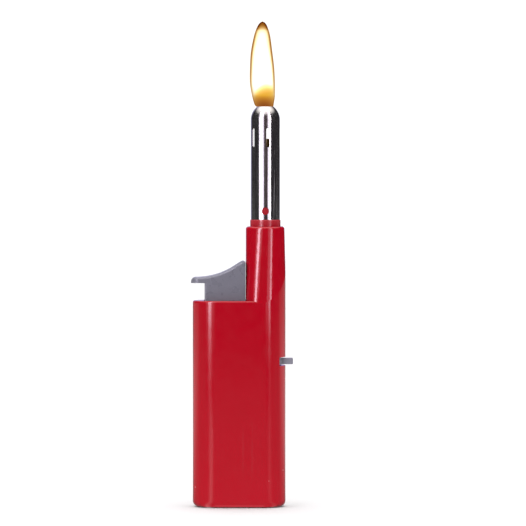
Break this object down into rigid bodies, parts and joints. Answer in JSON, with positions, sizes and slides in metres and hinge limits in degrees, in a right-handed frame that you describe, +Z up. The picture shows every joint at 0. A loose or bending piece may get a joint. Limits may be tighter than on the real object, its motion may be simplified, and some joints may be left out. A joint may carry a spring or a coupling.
{
  "type": "butane torch",
  "caption": "Pocket butane torch: flat red casing with a neck and bright flame tube, grey thumb button with piezo igniter, and a flame adjuster tab.",
  "frame": {"origin": "centre of the flat base, on the plane it stands on", "axes": "+Z up along the flame tube; +X towards the neck and adjuster side; +Y to the rear, so -Y is the pictured front"},
  "size_m": [0.0331, 0.016, 0.1298],
  "materials": {
    "red_plastic": "gloss",
    "red_satin_plastic": "satin",
    "tube_metal": "bright",
    "grey_plastic": "satin",
    "brass": "turned",
    "steel": "plain",
    "white_ceramic": "matte",
    "clear_rubber": "satin",
    "wire_insulation": "satin",
    "tank_plastic": "satin",
    "felt": "matte",
    "black_rubber": "matte",
    "white_plastic": "satin",
    "black_plastic": "satin"
  },
  "bodies": {
    "torch_body": {"front_shell": "red_plastic", "rear_shell": "red_plastic", "nozzle_holder": "red_satin_plastic", "nozzle_tube": "tube_metal", "jet_holder": "brass", "jet_nozzle": "brass", "flame_disc": "steel", "electrode_sleeve": "white_ceramic", "spark_electrode": "steel", "gas_hose": "clear_rubber", "hv_contact": "brass", "hv_wire": "wire_insulation", "tank_body": "tank_plastic", "tank_lid": "tank_plastic", "pickup_filter": "felt", "pickup_wick": "felt", "valve_body": "brass", "valve_cap": "brass", "valve_oring": "black_rubber", "valve_spring": "steel", "filler_body": "brass", "filler_oring": "black_rubber", "filler_spring": "steel", "lever_pin": "steel"},
    "button": {"thumb_button": "grey_plastic", "piezo_plunger": "white_plastic"},
    "piezo_unit": {"piezo_case": "black_plastic", "piezo_terminal": "brass", "piezo_ceramic": "white_ceramic", "piezo_anvil": "steel", "piezo_return_spring": "steel"},
    "striker": {"hammer": "steel", "hammer_pin": "steel", "piezo_impact_spring": "steel"},
    "lever": {"gas_lever": "steel"},
    "stem": {"valve_stem": "brass", "stem_seal": "black_rubber"},
    "adjuster": {"adjuster_wheel": "grey_plastic", "adjuster_sleeve": "brass"},
    "filler_pin": {"filler_stem": "brass"}
  },
  "joints": [
    {"name": "button_press", "type": "slide", "parent": "torch_body", "child": "button", "axis": [0, 0, -1], "range_m": [0, 0.005], "stiffness_N_per_m": 900, "springref_m": -0.003, "deforming": ["piezo_return_spring", "piezo_impact_spring"]},
    {"name": "piezo_sink", "type": "slide", "parent": "torch_body", "child": "piezo_unit", "axis": [0, 0, -1], "range_m": [0, 0.001]},
    {"name": "hammer_strike", "type": "slide", "parent": "piezo_unit", "child": "striker", "axis": [0, 0, -1], "range_m": [0, 0.0031], "stiffness_N_per_m": 500, "springref_m": -0.001},
    {"name": "lever_rock", "type": "hinge", "parent": "torch_body", "child": "lever", "pos_m": [0.0036, 0, 0.0476], "axis": [0, -1, 0], "range_deg": [0, 7.2]},
    {"name": "stem_lift", "type": "slide", "parent": "torch_body", "child": "stem", "axis": [0, 0, 1], "range_m": [0, 0.00061], "deforming": ["valve_spring"]},
    {"name": "flame_adjust", "type": "hinge", "parent": "torch_body", "child": "adjuster", "pos_m": [0.0085, 0, 0.0473], "axis": [0, 0, 1], "range_deg": [-30, 30]},
    {"name": "filler_open", "type": "slide", "parent": "torch_body", "child": "filler_pin", "axis": [0, 0, 1], "range_m": [0, 0.0008], "stiffness_N_per_m": 300, "springref_m": -0.001, "deforming": ["filler_spring"]}
  ],
  "couplings": [
    {"joint": "piezo_sink", "follows": "button_press", "ratio": 0.2},
    {"joint": "lever_rock", "follows": "button_press", "rad_per_m": 24.7},
    {"joint": "stem_lift", "follows": "button_press", "ratio": 0.12}
  ]
}
